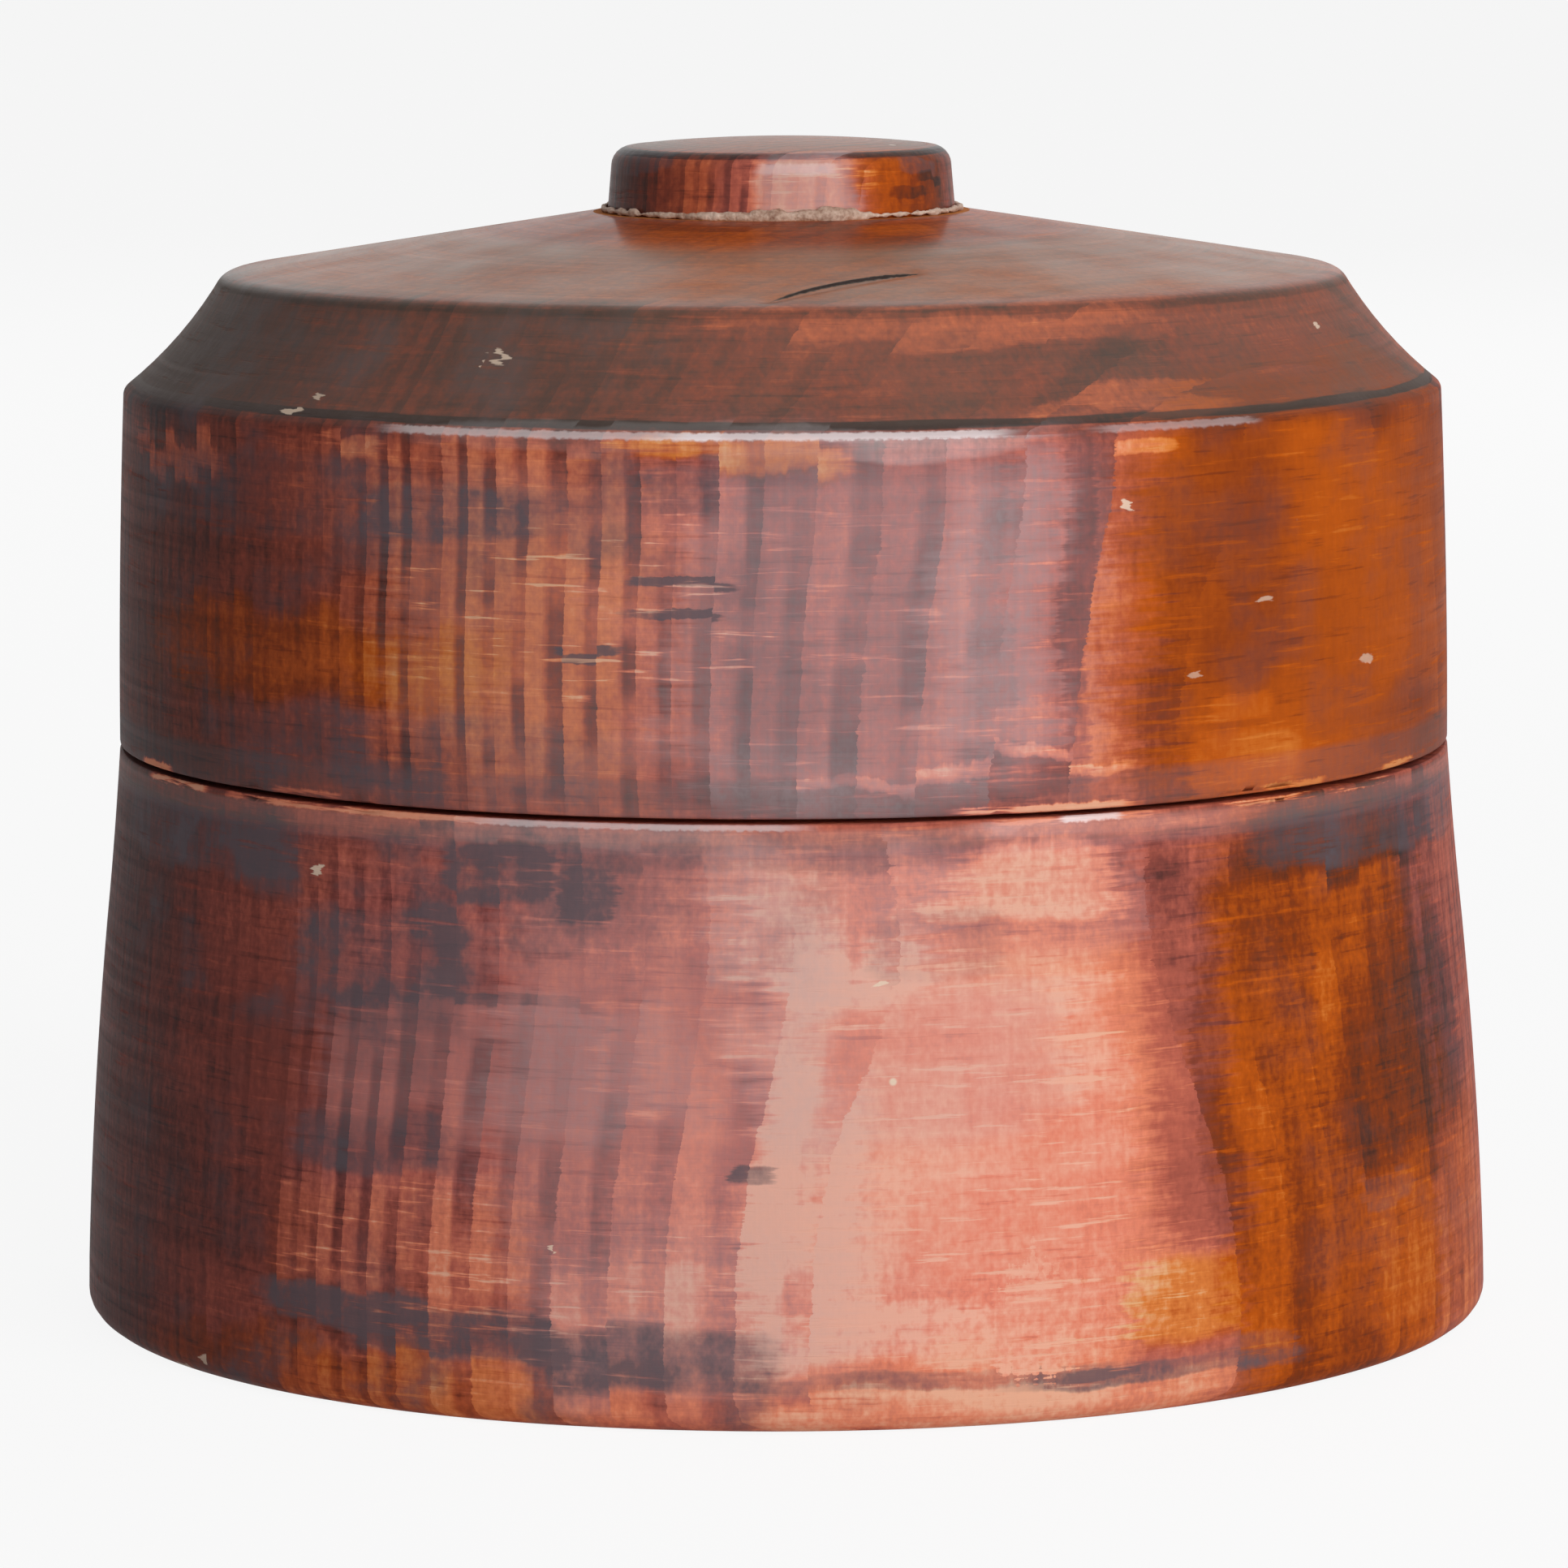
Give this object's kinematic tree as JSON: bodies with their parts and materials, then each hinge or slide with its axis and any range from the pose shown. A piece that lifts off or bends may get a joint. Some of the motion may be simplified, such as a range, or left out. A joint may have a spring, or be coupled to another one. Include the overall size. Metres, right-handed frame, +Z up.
{
  "type": "round lidded box",
  "caption": "Round turned wooden box with a flared base, a lift-off lid with a coved shoulder that sits over a collar, and a low disc knob glued into the lid.",
  "frame": {"origin": "middle of the foot, on the surface that the box stands on", "axes": "+Z up along the turning axis; the lid lifts along +Z; the picture looks along +Y"},
  "size_m": [0.13, 0.13, 0.108],
  "materials": {
    "base_wood": "worn red-brown lacquer over softwood",
    "lid_wood": "worn red-brown lacquer over softwood",
    "knob_wood": "worn red-brown lacquer over softwood",
    "dried_glue": "crusty dried glue"
  },
  "bodies": {
    "base": {"box_base": "base_wood"},
    "lid": {"lid": "lid_wood", "lid_knob": "knob_wood", "knob_glue_bead": "dried_glue"}
  },
  "joints": [
    {"name": "lid_lift", "type": "slide", "parent": "base", "child": "lid", "axis": [0, 0, 1], "range_m": [0, 0.1]}
  ]
}
